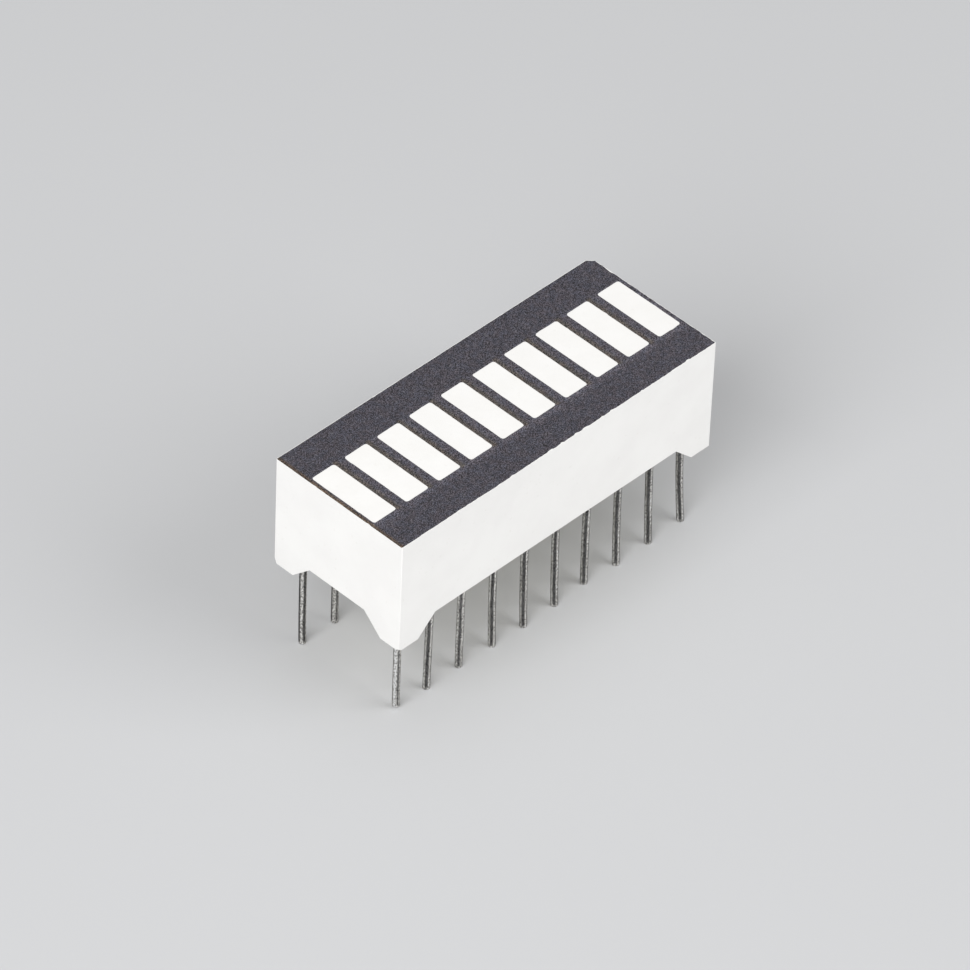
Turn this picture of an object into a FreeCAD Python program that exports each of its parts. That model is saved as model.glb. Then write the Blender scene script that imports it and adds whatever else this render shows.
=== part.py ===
"""A ten-segment light bar with twenty wire pins.

A white moulded housing stands on four corner feet. Ten tapered cavities run from its face down
to a small circuit board, and each is filled with milky epoxy over one light-emitting chip and
its bond wire. A coat of dark ink on the face leaves a window over each cavity. The board closes
the underside, sealed round its edge, and carries the pins.

Frame, in millimetres: X runs along the row of segments, Y across it and Z up. The origin is the
centre of the seating plane, where the four feet end. The pins reach down past it.
"""
import FreeCAD, Part
import os

import Sketcher
from FreeCAD import Vector

# Driving dimensions: name, value, meaning
SIZES = [
    ("segments", 10, "light segments in the row"),
    ("body_length", 25.2, "housing along the row"),
    ("body_width", 10.1, "housing across the row"),
    ("body_height", 8.0, "seating plane to the inked face"),
    ("stack_gap", 0.2, "between two bars end to end, where the pitch of 2.54 runs on unbroken"),
    ("pin_inset", 1.24, "middle of a row of pins to the housing's side; the rows are 7.62 apart"),
    ("wall", 0.6, "side and end walls of the housing"),
    ("corner_cut", 0.4, "small cut on the corner beside pin 1"),
    ("foot_height", 1.3, "corner feet below the housing's lower edge"),
    ("foot_run", 1.5, "length of a foot's flat end along each wall"),
    ("foot_slope", 1.35, "run of the slope from a foot to the lower edge"),
    ("face_plate", 1.0, "thickness of the face over the side channels"),
    ("block_gap", 0.385, "pins to the block that holds the cavities, between the side channels"),
    ("rib", 0.6, "ribs across the side channels"),
    ("rib_count", 4, "ribs along each channel"),
    ("window_length", 5.05, "cavity at the face and its window, across the row"),
    ("window_width", 1.76, "cavity at the face and its window, along the row"),
    ("window_radius", 0.2, "corners of the windows in the ink"),
    ("floor_length", 3.4, "cavity at the board, across the row"),
    ("floor_width", 0.9, "cavity at the board, along the row"),
    ("ink_thickness", 0.03, "printed ink on the face"),
    ("ink_margin", 0.04, "bare edge of the face around the ink"),
    ("board_recess", 0.9, "housing's lower edge to the back of the board"),
    ("board_thickness", 1.0, "circuit board"),
    ("board_clearance", 0.1, "board to housing wall, all round"),
    ("bead_width", 0.2, "sealing bead on the back of the board, from the board's edge"),
    ("bead_height", 0.3, "sealing bead below the back of the board"),
    ("copper", 0.035, "copper tracks on the board"),
    ("track_width", 0.5, "copper tracks"),
    ("track_margin", 0.15, "copper beyond the chip and beyond the wire's foot"),
    ("pin_radius", 0.225, "round wire pins"),
    ("pin_length", 6.0, "pin below the seating plane"),
    ("pin_head", 0.7, "pin above the board"),
    ("hole_clearance", 0.02, "pin to the wall of its hole in the board"),
    ("chip_side", 0.3, "light-emitting chip"),
    ("chip_height", 0.2, "light-emitting chip"),
    ("chip_setback", 0.43, "chip from the middle of its cavity"),
    ("wire_size", 0.03, "bond wire, square section of like area to the round one"),
    ("wire_rise", 0.2, "bond wire's kink above the chip"),
    ("wire_reach", 0.9, "bond wire from the chip to its foot on the other track"),
]

# Half sizes and levels that several pieces share, as formulas on the sheet
HALF_LENGTH = "(sizes.body_length / 2)"
HALF_WIDTH = "(sizes.body_width / 2)"
INNER_LENGTH = "(sizes.body_length / 2 - sizes.wall)"
INNER_WIDTH = "(sizes.body_width / 2 - sizes.wall)"
BOARD_LENGTH = f"({INNER_LENGTH} - sizes.board_clearance)"
BOARD_WIDTH = f"({INNER_WIDTH} - sizes.board_clearance)"
PITCH = "((sizes.body_length + sizes.stack_gap) / sizes.segments)"
FIRST_PLACE = f"((sizes.segments - 1) * {PITCH} / 2)"
PIN_ROW = f"({HALF_WIDTH} - sizes.pin_inset)"
BOARD_BACK = "(sizes.foot_height + sizes.board_recess)"
BOARD_TOP = f"({BOARD_BACK} + sizes.board_thickness)"
CAVITY_FLOOR = f"({BOARD_TOP} + sizes.copper)"
MOULDED_FACE = "(sizes.body_height - sizes.ink_thickness)"

doc = FreeCAD.newDocument("light_bar")


def make_sheet():
    """Writes the driving dimensions into a sheet, one alias a row."""
    sheet = doc.addObject("Spreadsheet::Sheet", "sizes")
    for row, (name, value, meaning) in enumerate(SIZES, start=1):
        sheet.set(f"A{row}", name)
        sheet.set(f"B{row}", str(value))
        sheet.set(f"C{row}", meaning)
        sheet.setAlias(f"B{row}", name)
    doc.recompute()
    return sheet


sheet = make_sheet()


def new_body(name):
    body = doc.addObject("PartDesign::Body", name)
    body.Label = name
    return body


def origin_feature(body, role):
    """The body's own plane or axis, such as XY_Plane or Z_Axis."""
    return next(feature for feature in body.Origin.OriginFeatures if feature.Role == role)


def new_sketch(body, name, plane, level=None):
    """An empty sketch on one of the body's planes, lifted to a level if one is given."""
    sketch = body.newObject("Sketcher::SketchObject", name)
    sketch.AttachmentSupport = (origin_feature(body, plane), [""])
    sketch.MapMode = "FlatFace"
    if level is not None:
        sketch.setExpression("AttachmentOffset.Base.z", level)
    return sketch


def bind(sketch, kind, places, formula):
    """Adds one dimension to a sketch and ties it to a formula."""
    index = sketch.addConstraint(Sketcher.Constraint(kind, *places, sheet.evalExpression(formula)))
    sketch.setExpression(f"Constraints[{index}]", formula)


def fix_point(sketch, geometry, end, across, up):
    """Ties a point's two coordinates, measured from the sketch's origin; None lies on the axis."""
    for kind, axis, formula in (("DistanceX", -2, across), ("DistanceY", -1, up)):
        if formula is None:
            sketch.addConstraint(Sketcher.Constraint("PointOnObject", geometry, end, axis))
        else:
            bind(sketch, kind, (-1, 1, geometry, end), formula)


def value_of(formula):
    return 0.0 if formula is None else sheet.evalExpression(formula)


def draw_outline(sketch, corners):
    """A closed outline of straight runs through corners given as pairs of formulas."""
    points = [Vector(value_of(across), value_of(up), 0) for across, up in corners]
    first = sketch.GeometryCount
    count = len(points)
    for number, point in enumerate(points):
        sketch.addGeometry(Part.LineSegment(point, points[(number + 1) % count]), False)
    for number, (across, up) in enumerate(corners):
        following = first + (number + 1) % count
        sketch.addConstraint(Sketcher.Constraint("Coincident", first + number, 2, following, 1))
        fix_point(sketch, first + number, 1, across, up)


def draw_rectangle(sketch, left, right, low, high):
    draw_outline(sketch, [(left, low), (right, low), (right, high), (left, high)])


def draw_circles(sketch, centres, radius):
    for across, up in centres:
        centre = Vector(value_of(across), value_of(up), 0)
        circle = sketch.addGeometry(Part.Circle(centre, Vector(0, 0, 1), value_of(radius)), False)
        fix_point(sketch, circle, 3, across, up)
        bind(sketch, "Radius", (circle,), radius)


def draw_window(sketch, middle, width, length, radius):
    """A rectangle with round corners, its middle on the X axis of the sketch."""
    corner = value_of(radius)
    half_width = value_of(width) / 2 - corner
    half_length = value_of(length) / 2 - corner
    quarters = [(1, 1, 0), (-1, 1, 90), (-1, -1, 180), (1, -1, 270)]
    arcs = []
    for side, end, start in quarters:
        centre = Vector(value_of(middle) + side * half_width, end * half_length, 0)
        circle = Part.Circle(centre, Vector(0, 0, 1), corner)
        turn = [FreeCAD.Units.Quantity(angle, "deg").getValueAs("rad").Value
                for angle in (start, start + 90)]
        arcs.append(sketch.addGeometry(Part.ArcOfCircle(circle, *turn), False))
    for number, arc in enumerate(arcs):
        following = arcs[(number + 1) % len(arcs)]
        begin = sketch.getPoint(arc, 2)
        finish = sketch.getPoint(following, 1)
        line = sketch.addGeometry(Part.LineSegment(begin, finish), False)
        sketch.addConstraint(Sketcher.Constraint("Tangent", arc, 2, line, 1))
        sketch.addConstraint(Sketcher.Constraint("Tangent", line, 2, following, 1))
    for arc, (side, end, start) in zip(arcs, quarters):
        across = f"{middle or 0} + {side} * ({width} / 2 - {radius})"
        up = f"{end} * ({length} / 2 - {radius})"
        fix_point(sketch, arc, 3, across, up)
        bind(sketch, "Radius", (arc,), radius)


def pad(body, name, sketch, length, symmetric=False):
    feature = body.newObject("PartDesign::Pad", name)
    feature.Profile = sketch
    feature.setExpression("Length", length)
    feature.SideType = "Symmetric" if symmetric else "One side"
    return feature


def pocket(body, name, sketch, length, symmetric=False):
    """Cuts upwards from its sketch, or to both sides of it."""
    feature = body.newObject("PartDesign::Pocket", name)
    feature.Profile = sketch
    feature.setExpression("Length", length)
    feature.SideType = "Symmetric" if symmetric else "One side"
    feature.Reversed = not symmetric
    return feature


def cavity_wedge(body, kind, name, middle):
    """The cavity as a wedge, narrow at the board and wide at the face; it grows along its own Y."""
    wedge = body.newObject(f"PartDesign::{kind}", name)
    wedge.AttachmentSupport = (origin_feature(body, "XZ_Plane"), [""])
    wedge.MapMode = "FlatFace"
    wedge.setExpression("Ymin", CAVITY_FLOOR)
    wedge.setExpression("Ymax", MOULDED_FACE)
    for side, sign in (("min", "-"), ("max", "+")):
        wedge.setExpression(f"X{side}", f"{middle} {sign} sizes.floor_width / 2")
        wedge.setExpression(f"X2{side}", f"{middle} {sign} sizes.window_width / 2")
        wedge.setExpression(f"Z{side}", f"{sign}sizes.floor_length / 2")
        wedge.setExpression(f"Z2{side}", f"{sign}sizes.window_length / 2")
    return wedge


def revolve(body, name, sketch):
    """Turns a half section about the body's Z axis and keeps its faces apart."""
    feature = body.newObject("PartDesign::Revolution", name)
    feature.Profile = sketch
    feature.ReferenceAxis = (origin_feature(body, "Z_Axis"), [""])
    feature.Refine = False
    return feature


def repeat(body, name, original, count, spacing):
    """Repeats a feature along the row, towards +X."""
    feature = body.newObject("PartDesign::LinearPattern", name)
    feature.Originals = [original]
    feature.Direction = (origin_feature(body, "X_Axis"), [""])
    feature.Mode = "Spacing"
    feature.setExpression("Offset", spacing)
    feature.setExpression("Occurrences", count)
    body.Tip = feature
    return feature


def face_outline(inset):
    """The housing seen from above, drawn in by an inset, with the corner beside pin 1 cut."""
    length = f"({HALF_LENGTH} - {inset})"
    width = f"({HALF_WIDTH} - {inset})"
    return [
        (f"-{length}", f"-{width}"),
        (length, f"-{width}"),
        (length, f"{HALF_WIDTH} - sizes.corner_cut"),
        (f"{HALF_LENGTH} - sizes.corner_cut", width),
        (f"-{length}", width),
    ]


def arch_outline(half_span):
    """The opening between two feet, seen on the wall that it cuts."""
    foot = f"({half_span} - sizes.foot_run)"
    crown = f"({foot} - sizes.foot_slope)"
    return [
        (f"-{foot}", None),
        (foot, None),
        (crown, "sizes.foot_height"),
        (f"-{crown}", "sizes.foot_height"),
    ]


def make_housing():
    body = new_body("housing")

    outer = new_sketch(body, "OuterOutline", "XY_Plane")
    draw_outline(outer, face_outline("0"))
    pad(body, "OuterBlock", outer, MOULDED_FACE)

    inner = new_sketch(body, "RecessOutline", "XY_Plane")
    draw_rectangle(inner, f"-{INNER_LENGTH}", INNER_LENGTH, f"-{INNER_WIDTH}", INNER_WIDTH)
    pocket(body, "BoardRecess", inner, CAVITY_FLOOR)

    long_arch = new_sketch(body, "LongArch", "XZ_Plane")
    draw_outline(long_arch, arch_outline(HALF_LENGTH))
    pocket(body, "LongArches", long_arch, "sizes.body_width", symmetric=True)

    short_arch = new_sketch(body, "ShortArch", "YZ_Plane")
    draw_outline(short_arch, arch_outline(HALF_WIDTH))
    pocket(body, "ShortArches", short_arch, "sizes.body_length", symmetric=True)

    channel_depth = f"{MOULDED_FACE} - sizes.face_plate - {CAVITY_FLOOR}"
    block_side = f"({PIN_ROW} - sizes.pin_radius - sizes.block_gap)"
    channels = new_sketch(body, "ChannelOutlines", "XY_Plane", CAVITY_FLOOR)
    draw_rectangle(channels, f"-{INNER_LENGTH}", INNER_LENGTH, block_side, INNER_WIDTH)
    draw_rectangle(channels, f"-{INNER_LENGTH}", INNER_LENGTH, f"-{INNER_WIDTH}", f"-{block_side}")
    pocket(body, "SideChannels", channels, channel_depth)

    # The first rib stands midway between the second and third pins, the others two pitches apart
    rib_middle = f"(1.5 * {PITCH} - {FIRST_PLACE})"
    left = f"{rib_middle} - sizes.rib / 2"
    right = f"{rib_middle} + sizes.rib / 2"
    ribs = new_sketch(body, "RibOutlines", "XY_Plane", CAVITY_FLOOR)
    draw_rectangle(ribs, left, right, block_side, INNER_WIDTH)
    draw_rectangle(ribs, left, right, f"-{INNER_WIDTH}", f"-{block_side}")
    rib = pad(body, "Ribs", ribs, channel_depth)
    repeat(body, "RibRow", rib, "sizes.rib_count", f"2 * {PITCH}")

    cavity = cavity_wedge(body, "SubtractiveWedge", "Cavity", f"-{FIRST_PLACE}")
    repeat(body, "CavityRow", cavity, "sizes.segments", PITCH)
    return body


def make_face_mask():
    """The ink leaves the windows and a hair of the face's edge bare."""
    body = new_body("face_mask")
    outline = new_sketch(body, "InkOutline", "XY_Plane", MOULDED_FACE)
    draw_outline(outline, face_outline("sizes.ink_margin"))
    pad(body, "Ink", outline, "sizes.ink_thickness")
    window = new_sketch(body, "WindowOutline", "XY_Plane", MOULDED_FACE)
    draw_window(window, f"-{FIRST_PLACE}",
                "sizes.window_width", "sizes.window_length", "sizes.window_radius")
    opening = pocket(body, "Window", window, "sizes.ink_thickness")
    repeat(body, "WindowRow", opening, "sizes.segments", PITCH)
    return body


def make_circuit_board():
    body = new_body("circuit_board")
    outline = new_sketch(body, "BoardOutline", "XY_Plane", BOARD_BACK)
    draw_rectangle(outline, f"-{BOARD_LENGTH}", BOARD_LENGTH, f"-{BOARD_WIDTH}", BOARD_WIDTH)
    pad(body, "Board", outline, "sizes.board_thickness")
    holes = new_sketch(body, "PinHoles", "XY_Plane", BOARD_BACK)
    draw_circles(holes, [(f"-{FIRST_PLACE}", f"-{PIN_ROW}"), (f"-{FIRST_PLACE}", PIN_ROW)],
                 "sizes.pin_radius + sizes.hole_clearance")
    drilled = pocket(body, "Holes", holes, "sizes.board_thickness")
    repeat(body, "HoleRows", drilled, "sizes.segments", PITCH)
    return body


def make_board_seal():
    """Epoxy between the board's edge and the walls, with a sloping bead on the board's back."""
    body = new_body("board_seal")
    outline = new_sketch(body, "SealOutline", "XY_Plane", f"{BOARD_BACK} - sizes.bead_height")
    draw_rectangle(outline, f"-{INNER_LENGTH}", INNER_LENGTH, f"-{INNER_WIDTH}", INNER_WIDTH)
    pad(body, "Seal", outline, "sizes.board_thickness + sizes.bead_height")
    seat = new_sketch(body, "BoardSeat", "XY_Plane", BOARD_BACK)
    draw_rectangle(seat, f"-{BOARD_LENGTH}", BOARD_LENGTH, f"-{BOARD_WIDTH}", BOARD_WIDTH)
    pocket(body, "Seat", seat, "sizes.board_thickness")
    length = f"({BOARD_LENGTH} - sizes.bead_width)"
    width = f"({BOARD_WIDTH} - sizes.bead_width)"
    opening = new_sketch(body, "BeadOpening", "XY_Plane", BOARD_BACK)
    draw_rectangle(opening, f"-{length}", length, f"-{width}", width)
    cut = pocket(body, "Bead", opening, "sizes.bead_height")
    cut.Reversed = False
    cut.setExpression("TaperAngle", "atan(sizes.bead_width / sizes.bead_height)")
    return body


def make_copper_tracks():
    """Two tracks a segment: one under the chip, one under the wire's foot, each to a pin."""
    body = new_body("copper_tracks")
    row_end = f"({PIN_ROW} - sizes.pin_radius - sizes.hole_clearance)"
    chip_end = "(sizes.chip_side / 2 + sizes.track_margin - sizes.chip_setback)"
    wire_end = "(sizes.wire_reach - sizes.chip_setback - sizes.track_margin)"
    left = f"-{FIRST_PLACE} - sizes.track_width / 2"
    right = f"-{FIRST_PLACE} + sizes.track_width / 2"
    outline = new_sketch(body, "TrackOutlines", "XY_Plane", BOARD_TOP)
    draw_rectangle(outline, left, right, f"-{row_end}", chip_end)
    draw_rectangle(outline, left, right, wire_end, row_end)
    track = pad(body, "Tracks", outline, "sizes.copper")
    repeat(body, "TrackRow", track, "sizes.segments", PITCH)
    return body


def make_pin(name, across, along):
    """A round wire, from its cut end up through the board; its face is parted at the seat."""
    body = new_body(name)
    section = new_sketch(body, "HalfSection", "XZ_Plane")
    draw_outline(section, [
        (None, "-sizes.pin_length"),
        ("sizes.pin_radius", "-sizes.pin_length"),
        ("sizes.pin_radius", None),
        ("sizes.pin_radius", f"{BOARD_TOP} + sizes.pin_head"),
        (None, f"{BOARD_TOP} + sizes.pin_head"),
    ])
    revolve(body, "Wire", section)
    body.setExpression("Placement.Base.x", along)
    body.setExpression("Placement.Base.y", across)
    return body


def wire_outline():
    """The bond wire from the side: straight up from the chip, then down to the other track."""
    chip_top = f"({CAVITY_FLOOR} + sizes.chip_height)"
    kink = f"({chip_top} + sizes.wire_rise)"
    half = "sizes.wire_size / 2"
    chip = "-sizes.chip_setback"
    foot = "sizes.wire_reach - sizes.chip_setback"
    return [
        (f"{chip} - {half}", chip_top),
        (f"{chip} - {half}", kink),
        (f"{foot} + {half}", CAVITY_FLOOR),
        (f"{foot} - {half}", CAVITY_FLOOR),
        (f"{chip} + {half}", f"{kink} - sizes.wire_size"),
        (f"{chip} + {half}", chip_top),
    ]


def make_segment_lens(name, along):
    """Milky epoxy that fills one cavity, round its chip and bond wire."""
    body = new_body(name)
    cavity_wedge(body, "AdditiveWedge", "Filling", "0")
    chip = new_sketch(body, "ChipOutline", "XY_Plane", CAVITY_FLOOR)
    half_side = "sizes.chip_side / 2"
    draw_rectangle(chip, f"-{half_side}", half_side,
                   f"-sizes.chip_setback - {half_side}", f"-sizes.chip_setback + {half_side}")
    pocket(body, "ChipRoom", chip, "sizes.chip_height")
    wire = new_sketch(body, "WireOutline", "YZ_Plane")
    draw_outline(wire, wire_outline())
    pocket(body, "WireRoom", wire, "sizes.wire_size", symmetric=True)
    body.setExpression("Placement.Base.x", along)
    return body


def make_led_chip(name, along):
    box = doc.addObject("Part::Box", name)
    box.Label = name
    box.setExpression("Length", "sizes.chip_side")
    box.setExpression("Width", "sizes.chip_side")
    box.setExpression("Height", "sizes.chip_height")
    box.setExpression("Placement.Base.x", f"{along} - sizes.chip_side / 2")
    box.setExpression("Placement.Base.y", "-sizes.chip_setback - sizes.chip_side / 2")
    box.setExpression("Placement.Base.z", CAVITY_FLOOR)
    return box


def make_bond_wire(name, along):
    body = new_body(name)
    side = new_sketch(body, "WireOutline", "YZ_Plane")
    draw_outline(side, wire_outline())
    pad(body, "Wire", side, "sizes.wire_size", symmetric=True)
    body.setExpression("Placement.Base.x", along)
    return body


def make_all():
    """Every piece; segments and pins count from the cut corner, pins on round the body."""
    pieces = [make_housing(), make_face_mask(), make_circuit_board()]
    pieces += [make_copper_tracks(), make_board_seal()]
    segments = int(sheet.segments)
    for number in range(segments):
        along = f"({FIRST_PLACE} - {number} * {PITCH})"
        label = f"{number + 1:02d}"
        pieces.append(make_segment_lens(f"segment_lens_{label}", along))
        pieces.append(make_led_chip(f"led_chip_{label}", along))
        pieces.append(make_bond_wire(f"bond_wire_{label}", along))
        pieces.append(make_pin(f"pin_{label}", PIN_ROW, along))
        pieces.append(make_pin(f"pin_{2 * segments - number:02d}", f"-{PIN_ROW}", along))
    return pieces


def check(pieces):
    """Stops on any object that failed, and on any piece with no sound solid."""
    for item in doc.Objects:
        if {"Invalid", "Error"} & set(item.State):
            raise RuntimeError(f"{item.Label} failed: {item.State}")
    for piece in pieces:
        if piece.Shape.isNull() or not piece.Shape.isValid() or not piece.Shape.Solids:
            raise RuntimeError(f"{piece.Label} has no sound solid")


def main():
    pieces = make_all()
    doc.recompute()
    check(pieces)
    os.makedirs("parts", exist_ok=True)
    for piece in pieces:
        piece.Shape.exportStep(f"parts/{piece.Label}.step")
    total = sum(piece.Shape.Volume for piece in pieces)
    print(f"{len(pieces)} pieces, {total:.1f} cubic millimetres")


main()
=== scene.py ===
"""The looks of a ten-segment light bar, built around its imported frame.

The frame's housing gets rounded edges and two blunt feet, its printed ink ragged edges, its pins
cut tips and the slight bends of handled wire, and the board's back its solder. Everything else
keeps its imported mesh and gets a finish. X runs along the row of segments, Z is up and the pins'
tips stand on the floor. Lengths are in metres, but in millimetres inside a material and in the
tables that say so.
"""
import math
import random

import bmesh
import bpy
from mathutils import Matrix, Vector, noise


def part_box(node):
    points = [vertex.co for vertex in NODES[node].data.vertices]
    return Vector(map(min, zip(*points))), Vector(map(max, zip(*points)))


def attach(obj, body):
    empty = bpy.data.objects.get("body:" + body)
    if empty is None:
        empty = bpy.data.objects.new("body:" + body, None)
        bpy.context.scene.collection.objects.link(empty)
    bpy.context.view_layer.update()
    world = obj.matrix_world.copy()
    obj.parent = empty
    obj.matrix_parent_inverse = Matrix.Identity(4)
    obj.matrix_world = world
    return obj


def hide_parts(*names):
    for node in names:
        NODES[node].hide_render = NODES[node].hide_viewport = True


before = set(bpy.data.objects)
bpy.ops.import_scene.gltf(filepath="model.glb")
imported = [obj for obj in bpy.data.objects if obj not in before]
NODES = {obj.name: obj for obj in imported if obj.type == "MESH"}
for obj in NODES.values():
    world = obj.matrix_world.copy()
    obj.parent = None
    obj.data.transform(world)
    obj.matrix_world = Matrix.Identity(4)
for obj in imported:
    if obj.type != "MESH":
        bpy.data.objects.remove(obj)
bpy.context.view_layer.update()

MM = 0.001
SEGMENTS = 10

# Distances under which points are in line, are merged and lie on a cut
IN_LINE, ONE_POINT, ON_CUT = 1e-6, 1e-7, 1e-8
# How far apart the lines lie that unlike noises are read along
LINE_APART, PIN_LINE_APART = 7.3, 3.7

# Sizes and levels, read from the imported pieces
housing_low, housing_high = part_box("housing")
window_low, window_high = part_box("segment_lens_01")
pin_low, pin_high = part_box("pin_01")
HALF_LENGTH, HALF_WIDTH = housing_high.x, housing_high.y
WINDOW_HALF_WIDTH = (window_high.x - window_low.x) / 2
WINDOW_HALF_LENGTH = (window_high.y - window_low.y) / 2
FACE, FEET = housing_high.z, housing_low.z
INK_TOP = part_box("face_mask")[1].z
BOARD_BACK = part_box("circuit_board")[0].z
PIN_RADIUS = (pin_high.x - pin_low.x) / 2
PIN_TOP, FLOOR = pin_high.z, pin_low.z


def segment_middle(number):
    """Middle of a segment along the row; segment 1 is beside the cut corner."""
    low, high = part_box(f"segment_lens_{number:02d}")
    return (low.x + high.x) / 2


def smooth_step(value):
    value = min(1.0, max(0.0, value))
    return value * value * (3 - 2 * value)


def wander(place, line, wavelength):
    """Smooth noise from -1 to 1, at one wavelength, along one of many unlike lines."""
    return noise.noise(Vector((place / wavelength, line, 0.5)))


def skin(bm, rings):
    """Joins rings of points, from the uppermost down, into a closed round body."""
    for upper, lower in zip(rings, rings[1:]):
        count = len(upper)
        for k in range(count):
            j = (k + 1) % count
            bm.faces.new((upper[k], lower[k], lower[j], upper[j]))
    bm.faces.new(rings[0])
    bm.faces.new(list(reversed(rings[-1])))


def add_piece(name, mesh, replaced=()):
    """Puts a finished mesh into the scene as a piece of the object."""
    piece = bpy.data.objects.new(name, mesh)
    bpy.context.scene.collection.objects.link(piece)
    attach(piece, "root")
    if replaced:
        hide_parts(*replaced)
    return piece


def set_material(piece, material):
    piece.data.materials.clear()
    piece.data.materials.append(material)


def mesh_from(name, bm, smooth=True):
    mesh = bpy.data.meshes.new(name)
    bm.to_mesh(mesh)
    bm.free()
    for face in mesh.polygons:
        face.use_smooth = smooth
    return mesh


# Materials

# Turn of every noise, so that its lattice lies square to no face
SKEWED = (0.6, 0.4, 0.9)
# Where most of a noise's values lie
NOISE_LOW, NOISE_HIGH = 0.3, 0.7


def grey(level):
    return level, level, level


class Finish:
    """A material under construction: a Principled shader and the textures that feed it."""

    def __init__(self, name, colour, roughness, **sockets):
        self.material = bpy.data.materials.new(name)
        self.material.use_nodes = True
        self.tree = self.material.node_tree
        self.shader = self.tree.nodes["Principled BSDF"]
        self.set("Base Color", (*colour, 1.0))
        self.set("Roughness", roughness)
        for socket, value in sockets.items():
            self.set(socket.replace("_", " "), value)
        self.height = None

    def set(self, socket, value):
        self.shader.inputs[socket].default_value = value

    def node(self, kind, **inputs):
        made = self.tree.nodes.new(kind)
        for name, value in inputs.items():
            self.feed(made.inputs[name.replace("_", " ")], value)
        return made

    def feed(self, socket, value):
        if isinstance(value, bpy.types.NodeSocket):
            self.tree.links.new(value, socket)
        else:
            socket.default_value = value

    def place(self, stretch=(1, 1, 1), turn=(0, 0, 0)):
        """Place on the piece in millimetres, squeezed along each axis by a factor, then turned."""
        where = self.node("ShaderNodeTexCoord").outputs["Object"]
        scale = tuple(factor / MM for factor in stretch)
        placed = self.node("ShaderNodeMapping", Vector=where, Scale=scale, Rotation=turn)
        return placed.outputs["Vector"]

    def noise(self, per_mm, stretch=(1, 1, 1), detail=2.0, roughness=0.5):
        made = self.node("ShaderNodeTexNoise", Vector=self.place(stretch, SKEWED), Scale=per_mm,
                         Detail=detail, Roughness=roughness)
        return made.outputs["Fac"]

    def cells(self, per_mm, stretch=(1, 1, 1)):
        """A random grey for each small cell."""
        made = self.node("ShaderNodeTexVoronoi", Vector=self.place(stretch), Scale=per_mm)
        parted = self.node("ShaderNodeSeparateColor", Color=made.outputs["Color"])
        return parted.outputs[0]

    def attribute(self, name):
        made = self.tree.nodes.new("ShaderNodeAttribute")
        made.attribute_name = name
        return made.outputs["Fac"]

    def spread(self, factor, from_low, from_high, to_low=0.0, to_high=1.0):
        """Stretches a factor's range, smoothly at both ends."""
        made = self.node("ShaderNodeMapRange", Value=factor)
        made.interpolation_type = "SMOOTHSTEP"
        for name, value in (("From Min", from_low), ("From Max", from_high),
                            ("To Min", to_low), ("To Max", to_high)):
            made.inputs[name].default_value = value
        return made.outputs["Result"]

    def math(self, operation, *values):
        made = self.tree.nodes.new("ShaderNodeMath")
        made.operation = operation
        for socket, value in zip(made.inputs, values):
            self.feed(socket, value)
        return made.outputs[0]

    def times(self, first, second):
        return self.math("MULTIPLY", first, second)

    def stronger(self, first, second):
        return self.math("MAXIMUM", first, second)

    def mix(self, factor, first, second, blend="MIX"):
        """Colours mixed by a factor; a colour is three numbers or a socket."""
        made = self.tree.nodes.new("ShaderNodeMix")
        made.data_type = "RGBA"
        made.blend_type = blend
        self.feed(made.inputs[0], factor)
        for index, value in ((6, first), (7, second)):
            colour = value if isinstance(value, bpy.types.NodeSocket) else (*value, 1.0)
            self.feed(made.inputs[index], colour)
        return made.outputs[2]

    def vary(self, texture, first, second):
        """A tone that wavers between two colours with a noise."""
        return self.mix(self.spread(texture, NOISE_LOW, NOISE_HIGH), first, second)

    def tint(self, factor, tone, colour):
        """Multiplies a tone by a colour where the factor is 1."""
        return self.mix(factor, tone, colour, "MULTIPLY")

    def mottle(self, tone, texture, texture_range, lift_range):
        """Dims and brightens a tone as a texture falls and rises."""
        dim, bright = lift_range
        lift = self.mix(self.spread(texture, *texture_range), grey(dim), grey(bright))
        return self.tint(1.0, tone, lift)

    def colour(self, socket):
        self.tree.links.new(socket, self.shader.inputs["Base Color"])

    def rough(self, texture, low, high):
        self.tree.links.new(self.spread(texture, NOISE_LOW, NOISE_HIGH, low, high),
                            self.shader.inputs["Roughness"])

    def relief(self, factor, depth):
        """Adds one texture's relief, its depth in metres, to those already there."""
        bump = self.node("ShaderNodeBump", Height=factor, Distance=depth)
        if self.height is not None:
            self.tree.links.new(self.height, bump.inputs["Normal"])
        self.height = bump.outputs["Normal"]
        self.tree.links.new(self.height, self.shader.inputs["Normal"])


def housing_finish():
    """White satin plastic, faintly uneven in tone, with a fine spark-eroded skin."""
    finish = Finish("white_plastic", (0.85, 0.842, 0.825), 0.5, Specular_IOR_Level=0.35)
    clouds = finish.noise(0.35, detail=3)
    tone = finish.vary(clouds, (0.835, 0.826, 0.81), (0.865, 0.858, 0.84))
    specks = finish.spread(finish.cells(8), 0.988, 0.997)
    finish.colour(finish.mix(finish.times(specks, 0.12), tone, (0.62, 0.59, 0.54)))
    finish.rough(finish.noise(2.5), 0.42, 0.58)
    finish.relief(finish.noise(9, detail=3), 0.004 * MM)
    finish.relief(finish.noise(0.6), 0.02 * MM)
    return finish.material


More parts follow.
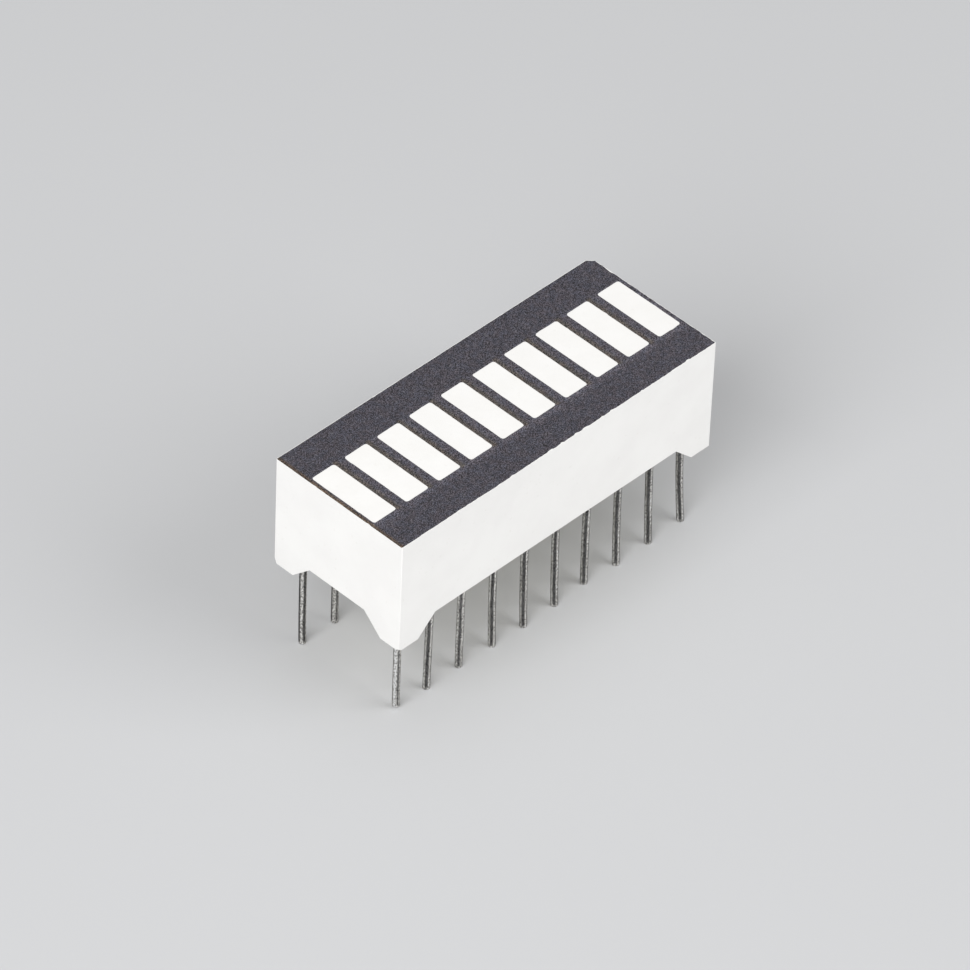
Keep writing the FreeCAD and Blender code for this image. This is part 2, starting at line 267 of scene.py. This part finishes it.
def window_glare_and_tinges(finish):
    """Painted glare from the lit windows on the ink by and below them; an olive tinge beside them, a
    brown one at the near end.

    Each fade goes from one distance past an edge to another, and from one strength to another.
    """
    def fade(place, edge, begin, end, before=1.0, after=0.0):
        return finish.spread(place, edge + begin, edge + end, before, after)

    parted = finish.node("ShaderNodeSeparateXYZ", Vector=finish.place())
    along, across = parted.outputs[0], parted.outputs[1]
    half_pitch = abs(segment_middle(2) - segment_middle(1)) / 2 / MM
    half_width, half_length = WINDOW_HALF_WIDTH / MM, WINDOW_HALF_LENGTH / MM
    body_end = HALF_LENGTH / MM
    from_middle = finish.math("SUBTRACT", along, segment_middle(1) / MM)
    from_middle = finish.math("WRAP", from_middle, half_pitch, -half_pitch)
    aside = finish.math("ABSOLUTE", from_middle)
    lengthways = finish.math("ABSOLUTE", across)
    # Painted glare from the lit windows: the ink lighter between them and below them on the near
    # side
    between = fade(lengthways, half_length, -0.1, 0.15, before=0.5)
    beyond = fade(across, -half_length, -0.75, 0.0, before=0.0, after=1.0)
    beyond = finish.times(beyond, fade(aside, half_width, 0.0, 0.2, after=0.4))
    beyond = finish.times(beyond, fade(across, -half_length, 0.0, 0.1))
    beside = fade(from_middle, half_width, 0.08, 0.44)
    beside = finish.times(beside, fade(from_middle, half_width, -0.1, 0.0, before=0.0, after=1.0))
    olive = finish.times(beside, fade(lengthways, half_length, 0.0, 0.2))
    olive = finish.times(olive, fade(along, body_end, -1.0, -0.4))
    brown = fade(along, -body_end, 0.05, 0.32)
    return finish.stronger(between, beyond), olive, brown


def ink_finish():
    """Dark violet-grey print: matte, grainy, with pale dust, painted glare by the lit windows, and
    warm tinges beside them and at the near end.
    """
    finish = Finish("printed_ink", (0.05, 0.046, 0.055), 0.62, Specular_IOR_Level=0.35)
    hue = finish.spread(finish.noise(2.6, detail=2), 0.35, 0.65)
    tone = finish.mix(hue, (0.05, 0.044, 0.053), (0.045, 0.044, 0.057))
    grain = finish.noise(17, detail=1, roughness=0.5)
    tone = finish.mottle(tone, grain, (0.4, 0.64), (0.2, 2.35))
    sparks = finish.spread(finish.cells(12), 0.9, 0.98)
    tone = finish.mix(finish.times(sparks, 0.26), tone, (0.24, 0.23, 0.25))
    window_glare, olive, brown = window_glare_and_tinges(finish)
    # Painted glare: the ink lightened by and below the lit windows
    tone = finish.tint(window_glare, tone, (1.65, 1.65, 1.62))
    tone = finish.tint(olive, tone, (1.0, 0.91, 0.66))
    finish.colour(finish.tint(brown, tone, (1.3, 0.98, 0.55)))
    finish.rough(grain, 0.5, 0.72)
    finish.relief(grain, 0.008 * MM)
    return finish.material


def epoxy_finish():
    """Milky cast epoxy: near white, soft gloss, faintly cloudy, with a little dust."""
    finish = Finish("milky_epoxy", (0.86, 0.85, 0.83), 0.5, Specular_IOR_Level=0.25)
    clouds = finish.noise(0.7, detail=3)
    tone = finish.vary(clouds, (0.848, 0.838, 0.817), (0.868, 0.86, 0.843))
    dust = finish.spread(finish.cells(7), 0.985, 0.997)
    finish.colour(finish.mix(finish.times(dust, 0.07), tone, (0.6, 0.57, 0.5)))
    finish.rough(finish.noise(3), 0.44, 0.58)
    finish.relief(finish.noise(1.2), 0.012 * MM)
    return finish.material


def pin_finish():
    """Tinned wire: dull grey, with painted reflections bright along four lines and dark between
    them, and bright and dark flecks.
    """
    finish = Finish("tinned_wire", (0.3, 0.295, 0.285), 0.3, Metallic=1.0)
    finish.set("Specular Tint", (*grey(0.35), 1.0))
    streaks = finish.noise(7, stretch=(1, 1, 0.06), detail=2)
    flecks = finish.noise(12, stretch=(1, 1, 0.7), detail=2, roughness=0.7)
    reflected_light = finish.attribute("painted_reflection")
    # Painted reflections: a dark core and bright lines round each wire, brightest on the near
    # corner's pin
    tone = finish.mix(finish.spread(reflected_light, 0.25, 0.95), (0.105, 0.104, 0.102), (0.65, 0.637, 0.612))
    tone = finish.mix(finish.spread(reflected_light, 1.0, 1.4), tone, (0.93, 0.925, 0.91))
    tone = finish.mottle(tone, streaks, (0.35, 0.65), (0.85, 1.15))
    finish.colour(finish.mottle(tone, flecks, (0.35, 0.65), (0.5, 1.6)))
    finish.rough(flecks, 0.24, 0.4)
    finish.relief(streaks, 0.004 * MM)
    return finish.material


def board_finish():
    """Bare glass-fibre laminate: straw yellow, with the weave showing through."""
    finish = Finish("laminate", (0.55, 0.5, 0.3), 0.42)
    thread_width = 0.4
    per_thread = math.pi / thread_width
    parted = finish.node("ShaderNodeSeparateXYZ", Vector=finish.place())
    warp, weft = (finish.math("SINE", finish.times(parted.outputs[axis], per_thread))
                  for axis in (0, 1))
    weave = finish.spread(finish.times(warp, weft), -0.5, 0.5)
    tone = finish.vary(finish.noise(1.4, detail=3), (0.5, 0.45, 0.26), (0.58, 0.53, 0.32))
    finish.colour(finish.mix(finish.times(weave, 0.35), tone, (0.68, 0.64, 0.45)))
    finish.rough(finish.noise(6), 0.34, 0.5)
    finish.relief(weave, 0.01 * MM)
    return finish.material


def seal_finish():
    """Cast epoxy round the board: cream, glossy, slightly wavy."""
    finish = Finish("edge_epoxy", (0.72, 0.68, 0.57), 0.25)
    waves = finish.noise(1.1, detail=2)
    finish.colour(finish.vary(waves, (0.69, 0.64, 0.52), (0.76, 0.72, 0.62)))
    finish.rough(finish.noise(4), 0.2, 0.34)
    finish.relief(waves, 0.05 * MM)
    return finish.material


def solder_finish():
    """Solder that has set: bright, with a frosted bloom in patches."""
    finish = Finish("solder", (0.62, 0.62, 0.6), 0.28, Metallic=1.0)
    frost = finish.noise(7, detail=3)
    finish.colour(finish.vary(frost, (0.5, 0.5, 0.49), (0.7, 0.7, 0.68)))
    finish.rough(frost, 0.2, 0.42)
    finish.relief(frost, 0.01 * MM)
    return finish.material


def copper_finish():
    """Etched copper, stained darker in patches."""
    finish = Finish("etched_copper", (0.75, 0.42, 0.26), 0.35, Metallic=1.0)
    stain = finish.noise(3, detail=3)
    finish.colour(finish.vary(stain, (0.6, 0.33, 0.2), (0.8, 0.47, 0.3)))
    finish.rough(stain, 0.28, 0.5)
    finish.relief(finish.noise(12), 0.004 * MM)
    return finish.material


def chip_finish():
    """A sawn semiconductor: dark yellow, with upright saw marks."""
    finish = Finish("sawn_chip", (0.32, 0.28, 0.12), 0.3)
    saw = finish.noise(30, stretch=(1, 1, 0.1), detail=2)
    finish.colour(finish.vary(saw, (0.24, 0.2, 0.08), (0.42, 0.37, 0.2)))
    finish.relief(saw, 0.003 * MM)
    return finish.material


def gold_finish():
    """Fine drawn gold wire."""
    finish = Finish("gold_wire", (0.9, 0.66, 0.26), 0.22, Metallic=1.0)
    drawn = finish.noise(40, detail=2)
    finish.colour(finish.vary(drawn, (0.8, 0.56, 0.2), (0.95, 0.72, 0.34)))
    finish.rough(drawn, 0.16, 0.3)
    return finish.material


# The housing, with its edges rounded

# Radius of the rounding, and the number of steps that it turns in
CORNER_ROUND = (0.05 * MM, 4)
EDGE_ROUND = (0.02 * MM, 2)
# Packed faces that meet at less than FLAT become one, and edges past SHARP are rounded
FLAT, SHARP = math.radians(1), math.radians(28)
# How close to the body's end and side an outside corner is
OUTSIDE = 0.5 * MM
# Corners of the near end that are blunt at the foot: side, and millimetres cut from the edges
# along the body, across it and up
BLUNT_FEET = [(1, (0.25, 0.19, 0.44)), (-1, (0.2, 0.3, 0.15))]


def is_outer_upright(edge):
    """True for the upright edges at the outside corners."""
    first, second = (vert.co for vert in edge.verts)
    upright = abs(first.x - second.x) < IN_LINE and abs(first.y - second.y) < IN_LINE
    at_end = abs(first.x) > HALF_LENGTH - OUTSIDE
    at_side = abs(first.y) > HALF_WIDTH - OUTSIDE
    return upright and at_end and at_side


def round_edges(bm, edges, radius, steps):
    bmesh.ops.bevel(bm, geom=edges, offset=radius, offset_type="OFFSET", segments=steps,
                    profile=0.5, affect="EDGES", clamp_overlap=True)


def blunt_foot(bm, side, lengths):
    """Cuts a foot's lower outside corner off at the near end."""
    corner = Vector((-HALF_LENGTH, side * HALF_WIDTH, FEET))
    along, across, up = (length * MM for length in lengths)
    cut_off = Vector((-1 / along, side / across, -1 / up)).normalized()
    on_plane = corner + Vector((along, 0, 0))
    cut = bmesh.ops.bisect_plane(bm, geom=bm.verts[:] + bm.edges[:] + bm.faces[:], dist=ON_CUT,
                                 plane_co=on_plane, plane_no=cut_off, clear_outer=True)
    rim = [item for item in cut["geom_cut"] if isinstance(item, bmesh.types.BMEdge)]
    bmesh.ops.edgeloop_fill(bm, edges=rim)


def make_housing():
    """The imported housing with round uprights, two blunt feet and softened edges."""
    bm = bmesh.new()
    bm.from_mesh(NODES["housing"].data)
    bmesh.ops.remove_doubles(bm, verts=bm.verts, dist=ONE_POINT)
    bmesh.ops.dissolve_limit(bm, angle_limit=FLAT, verts=bm.verts, edges=bm.edges)
    uprights = [edge for edge in bm.edges if is_outer_upright(edge)]
    round_edges(bm, uprights, *CORNER_ROUND)
    for side, lengths in BLUNT_FEET:
        blunt_foot(bm, side, lengths)
    sharp = [edge for edge in bm.edges if len(edge.link_faces) == 2
             and edge.calc_face_angle() > SHARP]
    round_edges(bm, sharp, *EDGE_ROUND)
    piece = add_piece("housing_shell", mesh_from("housing_shell", bm), ["housing"])
    weighted = piece.modifiers.new("weighted_normals", "WEIGHTED_NORMAL")
    weighted.keep_sharp = True
    return piece


# The ink: a print with ragged edges that slope down

# Step between the points of an edge, width of its slope, and share of the ink's thickness under it
EDGE_STEP, EDGE_SLOPE, EDGE_SHARE = 0.07 * MM, 0.05 * MM, 0.45
WINDOW_CORNER = 0.17 * MM
INK_CORNER = 0.09 * MM
# The wavelengths and depths of an edge's long and short wobble and of its bites
LONG_WOBBLE, SHORT_WOBBLE, WOBBLE_DEPTH = 0.9 * MM, 0.22 * MM, 0.6
BITE, BITE_DEPTH = 0.5 * MM, 6
# A bite begins where its noise passes this level
BITE_FROM = 0.42
# Seeds of the border's edge and of the windows' edges, which are apart by a step
BORDER_SEED, WINDOW_SEED, WINDOW_SEED_STEP = 11, 20, 5
# How far a window's edge wanders
WINDOW_WANDER = 0.012 * MM
# Millimetres from the housing's edge to the ink: at least, and by side of the face its mean and
# how far it wanders
LEAST_GAP = 0.004
BARE_EDGES = {
    "near_side": (0.048, 0.04),
    "near_end": (0.006, 0.02),
    "far_side": (0.04, 0.012),
    "far_end": (0.034, 0.035),
}


def rounded_path(corners, radius, step):
    """Points along a closed outline with round corners, each with its outward normal."""
    pieces = []
    count = len(corners)
    for number, corner in enumerate(corners):
        before = (corners[number - 1] - corner).normalized()
        after = (corners[(number + 1) % count] - corner).normalized()
        half_turn = before.angle(after) / 2
        reach = radius / math.tan(half_turn)
        centre = corner + (before + after).normalized() * radius / math.sin(half_turn)
        pieces.append((corner + before * reach, centre, corner + after * reach))
    path = []
    for number, (begin, centre, end) in enumerate(pieces):
        start = begin - centre
        turn = start.angle_signed(end - centre)
        arc_steps = max(2, round(abs(turn) * radius / step))
        for k in range(arc_steps):
            arm = start.copy()
            arm.rotate(Matrix.Rotation(-turn * k / arc_steps, 2))
            path.append((centre + arm, arm.normalized()))
        following = pieces[(number + 1) % count][0]
        run = following - end
        run_steps = max(1, round(run.length / step))
        outward = (end - centre).normalized()
        for k in range(run_steps):
            path.append((end + run * k / run_steps, outward))
    return path


def side_of(normal):
    if abs(normal.y) > abs(normal.x):
        return "far_side" if normal.y > 0 else "near_side"
    return "far_end" if normal.x > 0 else "near_end"


def raggedness(place, seed):
    """Fine wobble with a few deeper bites, from about -1 to 2."""
    lines = (LINE_APART * (seed + k) for k in range(3))
    long, short, bite = (wander(place, line, length)
                         for line, length in zip(lines, (LONG_WOBBLE, SHORT_WOBBLE, BITE)))
    wobble = WOBBLE_DEPTH * long + WOBBLE_DEPTH * short
    return wobble + BITE_DEPTH * max(0.0, bite - BITE_FROM)


def border_ring():
    """The print's outer edge: points and inward directions."""
    length, width = HALF_LENGTH, HALF_WIDTH
    cut = length - max(vert.co.x for vert in NODES["housing"].data.vertices
                       if vert.co.y > width - IN_LINE)
    corners = [Vector((-length, -width)), Vector((length, -width)),
               Vector((length, width - cut)), Vector((length - cut, width)),
               Vector((-length, width))]
    ring = []
    travelled = 0.0
    for point, outward in rounded_path(corners, INK_CORNER, EDGE_STEP):
        travelled += EDGE_STEP
        gap, spread = BARE_EDGES[side_of(outward)]
        inset = max(LEAST_GAP, gap + spread * raggedness(travelled, BORDER_SEED)) * MM
        ring.append((point - outward * inset, -outward))
    return ring


def window_ring(number):
    """One window's edge: points and directions into the ink."""
    middle = segment_middle(number)
    corners = [Vector((middle + sx * WINDOW_HALF_WIDTH, sy * WINDOW_HALF_LENGTH))
               for sx, sy in ((-1, -1), (1, -1), (1, 1), (-1, 1))]
    seed = WINDOW_SEED + WINDOW_SEED_STEP * number
    ring = []
    travelled = 0.0
    for point, outward in rounded_path(corners, WINDOW_CORNER, EDGE_STEP):
        travelled += EDGE_STEP
        shift = WINDOW_WANDER * raggedness(travelled, seed)
        ring.append((point + outward * shift, outward))
    return ring


def make_ink():
    """Each edge is a narrow sloping band; flat print fills what lies between the bands."""
    bm = bmesh.new()
    edge_height = FACE + EDGE_SHARE * (INK_TOP - FACE)

    def loop_at(points, level):
        return [bm.verts.new((point.x, point.y, level)) for point in points]

    def band(first, second):
        count = len(first)
        for k in range(count):
            j = (k + 1) % count
            bm.faces.new((first[k], first[j], second[j], second[k]))

    inner_loops = []
    bottom_loops = []
    rings = [border_ring()] + [window_ring(number) for number in range(1, SEGMENTS + 1)]
    for ring in rings:
        edge = [point for point, inward in ring]
        inner = [point + inward * EDGE_SLOPE for point, inward in ring]
        bottom_loops.append(loop_at(edge, FACE))
        rim = loop_at(edge, edge_height)
        inner_loops.append(loop_at(inner, INK_TOP))
        band(bottom_loops[-1], rim)
        band(rim, inner_loops[-1])
    for loops in (inner_loops, bottom_loops):
        edges = []
        for verts in loops:
            for k, vert in enumerate(verts):
                pair = (vert, verts[(k + 1) % len(verts)])
                edges.append(bm.edges.get(pair) or bm.edges.new(pair))
        bmesh.ops.triangle_fill(bm, edges=edges, use_beauty=True, use_dissolve=False)
    bmesh.ops.recalc_face_normals(bm, faces=bm.faces)
    mesh = mesh_from("printed_mask", bm, smooth=False)
    return add_piece("printed_mask", mesh, ["face_mask"])


# The pins

PIN_SIDES = 28
PIN_RINGS = 36
PIN_SEED = 400
# The cut end's round rim: its height, its share of the pin's radius and its rings' turns in degrees
TIP_ROUNDING, TIP_SHARE, TIP_TURNS = 0.04 * MM, 0.2, (0, 30, 60, 90)
# How much slimmer than packed the wire is, which is also how uneven it is, and over what length
SLIMMER, UNEVEN_LENGTH = 0.003 * MM, 0.35 * MM
# Slant of a cut end in degrees, at least and at most
SLANTS = (0.5, 4)
# Heights above the cut end over which its slant fades out and its shine does
SLANT_HEIGHT, SHINE_HEIGHT = 0.6 * MM, 0.5 * MM
CUT_SHINE = 0.8
# The lines of painted reflection, evenly round the pin: how many there are, and one line's direction
REFLECTION_LINES = 4
FRONT_LINE, BACK_LINE = math.radians(88), math.radians(33)
# How much painted reflection a pin has between its lines, at least and at most
BETWEEN_LINES = (0, 0.38)
# How far the lines sway to the side, and over what length
SWAY, SWAY_LENGTH = 0.4, 1.5 * MM
# The pin at the near corner has painted reflection nearly all over, and a painted highlight most
# along one of its lines
BRIGHT_PIN, BRIGHT_REFLECTION, BRIGHT_LINE, BRIGHT_EXTRA = 11, 0.27, math.radians(198), 0.6
# How many millimetres a pin leans along the row and outwards, at the feet and at the tip, and
# what it lacks in length. Pins 11 to 20 run from the near corner, 10 and 9 stand behind 11 and 12.
LEANS = {
    9: ((0.02, 0.007), (-0.16, -0.188), 0.0),
    10: ((-0.021, 0.028), (-0.185, -0.177), 0.0),
    11: ((-0.02, 0.01), (0.0, 0.0), 0.15),
    12: ((-0.08, 0.06), (-0.15, 0.06), 0.0),
    13: ((-0.06, 0.04), (-0.1, 0.06), 0.0),
    14: ((-0.04, 0.02), (-0.04, 0.16), 0.0),
    15: ((-0.03, 0.01), (-0.12, 0.26), 0.0),
    16: ((-0.03, 0.01), (-0.1, 0.23), 0.0),
    17: ((-0.05, 0.02), (-0.08, 0.1), 0.0),
    18: ((-0.01, 0.0), (-0.13, 0.26), 0.0),
    19: ((0.02, 0.01), (0.01, 0.26), 0.0),
    20: ((0.01, 0.01), (0.22, 0.22), 0.0),
}


def bend_at(level, foot_shift, tip_shift):
    """Sideways shift of a bent pin: nothing at the board, then a smooth curve down to the tip."""
    if level >= BOARD_BACK:
        return 0.0
    drop = BOARD_BACK - level
    at_foot, at_tip = BOARD_BACK, BOARD_BACK - FLOOR
    slope = foot_shift / at_foot
    curve = (tip_shift / at_tip - slope) / (at_tip - at_foot)
    return slope * drop + curve * drop * (drop - at_foot)


def pin_levels(end):
    """Levels of a pin's rings from the top down, each with its share of the full radius."""
    levels = [(PIN_TOP + (end - PIN_TOP) * k / PIN_RINGS, 1.0) for k in range(PIN_RINGS)]
    for turn in map(math.radians, TIP_TURNS):
        level = end + TIP_ROUNDING * (1 - math.sin(turn))
        levels.append((level, 1 - TIP_SHARE * (1 - math.cos(turn))))
    return levels


def make_pin(number):
    """A wire from the body to its slanting cut end, bent a little, with painted reflections along
    lines.
    """
    rng = random.Random(PIN_SEED + number)
    low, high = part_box(f"pin_{number:02d}")
    middle = Vector(((low.x + high.x) / 2, (low.y + high.y) / 2))
    outward = 1 if middle.y > 0 else -1
    plain = ((rng.uniform(-0.03, 0.03), rng.uniform(-0.02, 0.03)),
             (rng.uniform(-0.08, 0.08), rng.uniform(-0.03, 0.1)), 0.0)
    foot, tip, short = LEANS.get(number, plain)
    end = FLOOR + short * MM
    shear = math.tan(math.radians(rng.uniform(*SLANTS)))
    shear_turn = rng.uniform(0, 2 * math.pi)
    line = BACK_LINE if outward > 0 else FRONT_LINE
    even = rng.uniform(*BETWEEN_LINES)
    if number == BRIGHT_PIN:
        line, even = BRIGHT_LINE, BRIGHT_REFLECTION
    bm = bmesh.new()
    painted_reflection_layer = bm.verts.layers.float.new("painted_reflection")
    rings = []
    for level, share in pin_levels(end):
        along = bend_at(level, foot[0] * MM, tip[0] * MM)
        across = bend_at(level, foot[1] * MM, tip[1] * MM) * outward
        slant = shear * (1 - smooth_step((level - end) / SLANT_HEIGHT))
        cut_shine = CUT_SHINE * (1 - smooth_step((level - end) / SHINE_HEIGHT))
        sway = SWAY * wander(level, PIN_LINE_APART * number, SWAY_LENGTH)
        ring = []
        for k in range(PIN_SIDES):
            angle = 2 * math.pi * k / PIN_SIDES
            spot = Vector((math.cos(angle), math.sin(angle) + 9 * number, level / UNEVEN_LENGTH))
            radius = PIN_RADIUS * share - SLIMMER + SLIMMER * noise.noise(spot)
            lift = slant * PIN_RADIUS * (1 + math.cos(angle - shear_turn))
            vert = bm.verts.new((middle.x + along + radius * math.cos(angle),
                                 middle.y + across + radius * math.sin(angle), level + lift))
            # Painted reflection: bright on the lines, dark between them, with a painted highlight on
            # the near corner's pin
            on_line = 0.5 + 0.5 * math.cos(REFLECTION_LINES * (angle - line) + sway)
            vert[painted_reflection_layer] = max(cut_shine, even + (1 - even) * on_line)
            if number == BRIGHT_PIN:
                vert[painted_reflection_layer] += BRIGHT_EXTRA * max(0.0, math.cos(angle - line)) ** 4
            ring.append(vert)
        rings.append(ring)
    skin(bm, rings)
    name = f"wire_pin_{number:02d}"
    return add_piece(name, mesh_from(name, bm), [f"pin_{number:02d}"])


# Solder on the board's back

SOLDER_RADIUS = 0.72 * MM
SOLDER_HEIGHT = 0.75 * MM
SOLDER_SIDES = 28
SOLDER_RINGS = 10
SOLDER_SEED = 77
# How hollow a fillet's side is, and its tip's share of the pin's radius
HOLLOW, PIN_SHARE = 2.2, 0.99
# Shares of the full height that fillets have, and how oval they are at most
HEIGHT_SHARES, SKEW = (0.85, 1.1), 0.05


def make_solder():
    """A fillet round each pin, hollow-sided, no two alike."""
    rng = random.Random(SOLDER_SEED)
    bm = bmesh.new()
    for number in range(1, 2 * SEGMENTS + 1):
        low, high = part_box(f"pin_{number:02d}")
        middle = (low + high) / 2
        height = SOLDER_HEIGHT * rng.uniform(*HEIGHT_SHARES)
        skew = rng.uniform(-SKEW, SKEW)
        rings = []
        for down in (step / SOLDER_RINGS for step in range(SOLDER_RINGS + 1)):
            radius = PIN_RADIUS * PIN_SHARE + (SOLDER_RADIUS - PIN_RADIUS) * (1 - down) ** HOLLOW
            ring = []
            for angle in (2 * math.pi * k / SOLDER_SIDES for k in range(SOLDER_SIDES)):
                x_radius = radius * (1 + skew * math.cos(angle))
                y_radius = radius * (1 - skew * math.cos(angle))
                ring.append(bm.verts.new((middle.x + x_radius * math.cos(angle),
                                          middle.y + y_radius * math.sin(angle),
                                          BOARD_BACK - height * down)))
            rings.append(ring)
        skin(bm, rings)
    return add_piece("solder_fillets", mesh_from("solder_fillets", bm))


# Light, floor and camera

PALE_GREY = (0.57, 0.575, 0.585)
FLOOR_SIDE = 3.0
WORLD_LIGHT = 0.5
# The camera's place, turn and lens, fitted to the photograph
AIM = Vector((-0.231, 0.521, 1.205)) * MM
AZIMUTH, ELEVATION = -46.68, 42.755
DISTANCE = 483.09 * MM
ROLL = math.radians(2.498)
LENS, SENSOR_WIDTH = 313.1, 36.0
NEAREST_SEEN, FURTHEST_SEEN = 0.01, 20.0


def direction(azimuth, elevation):
    """Unit vector from the object towards an azimuth and elevation in degrees."""
    a, e = math.radians(azimuth), math.radians(elevation)
    return Vector((math.sin(a) * math.cos(e), -math.cos(a) * math.cos(e), math.sin(e)))


def add_camera():
    data = bpy.data.cameras.new("photo_camera")
    data.lens = LENS
    data.sensor_width = SENSOR_WIDTH
    data.clip_start, data.clip_end = NEAREST_SEEN, FURTHEST_SEEN
    camera = bpy.data.objects.new("photo_camera", data)
    back = direction(AZIMUTH, ELEVATION)
    camera.location = AIM + back * DISTANCE
    level = (-back).to_track_quat("-Z", "Y").to_matrix()
    camera.rotation_euler = (level @ Matrix.Rotation(ROLL, 3, "Z")).to_euler()
    bpy.context.scene.collection.objects.link(camera)
    bpy.context.scene.camera = camera


def add_lamp(name, azimuth, elevation, distance, side, power):
    """A square soft lamp that faces the object from an azimuth and elevation in degrees."""
    data = bpy.data.lights.new(name, "AREA")
    data.size = side
    data.energy = power
    lamp = bpy.data.objects.new(name, data)
    back = direction(azimuth, elevation)
    lamp.location = back * distance
    lamp.rotation_euler = (-back).to_track_quat("-Z", "Y").to_euler()
    bpy.context.scene.collection.objects.link(lamp)


def add_stage():
    bm = bmesh.new()
    bmesh.ops.create_grid(bm, x_segments=1, y_segments=1, size=FLOOR_SIDE / 2)
    bmesh.ops.translate(bm, verts=bm.verts, vec=(0, 0, FLOOR))
    floor = bpy.data.objects.new("floor", mesh_from("floor", bm, smooth=False))
    set_material(floor, Finish("pale_floor", PALE_GREY, 0.75, Specular_IOR_Level=0.2).material)
    bpy.context.scene.collection.objects.link(floor)


def add_world():
    """Plain white light from all round; the camera and shiny pieces see a pale backdrop."""
    world = bpy.data.worlds.new("studio")
    bpy.context.scene.world = world
    world.use_nodes = True
    tree = world.node_tree
    background = tree.nodes["Background"]
    background.inputs["Color"].default_value = (1.0, 1.0, 1.0, 1.0)
    background.inputs["Strength"].default_value = WORLD_LIGHT
    backdrop = tree.nodes.new("ShaderNodeBackground")
    backdrop.inputs["Color"].default_value = (*PALE_GREY, 1.0)
    backdrop.inputs["Strength"].default_value = 1.0
    path = tree.nodes.new("ShaderNodeLightPath")
    seen = path.outputs["Is Camera Ray"]
    for ray in ("Is Glossy Ray", "Is Transmission Ray"):
        either = tree.nodes.new("ShaderNodeMath")
        either.operation = "MAXIMUM"
        tree.links.new(seen, either.inputs[0])
        tree.links.new(path.outputs[ray], either.inputs[1])
        seen = either.outputs[0]
    mixed = tree.nodes.new("ShaderNodeMixShader")
    tree.links.new(seen, mixed.inputs["Fac"])
    tree.links.new(background.outputs["Background"], mixed.inputs[1])
    tree.links.new(backdrop.outputs["Background"], mixed.inputs[2])
    tree.links.new(mixed.outputs["Shader"], tree.nodes["World Output"].inputs["Surface"])


def dress():
    """Makes the scene's own pieces and gives every piece its finish."""
    set_material(make_housing(), housing_finish())
    set_material(make_ink(), ink_finish())
    wire = pin_finish()
    for number in range(1, 2 * SEGMENTS + 1):
        set_material(make_pin(number), wire)
    set_material(make_solder(), solder_finish())
    kept = {"segment_lens": epoxy_finish(), "led_chip": chip_finish(), "bond_wire": gold_finish(),
            "circuit_board": board_finish(), "board_seal": seal_finish(),
            "copper_tracks": copper_finish()}
    for name, node in NODES.items():
        for start, material in kept.items():
            if name.startswith(start):
                set_material(node, material)


dress()
add_stage()
add_world()
add_lamp("key", azimuth=-75, elevation=38, distance=0.5, side=0.35, power=1.95)
add_lamp("fill", azimuth=25, elevation=35, distance=0.55, side=0.4, power=1.35)
add_camera()
bpy.context.scene.view_settings.view_transform = "Standard"
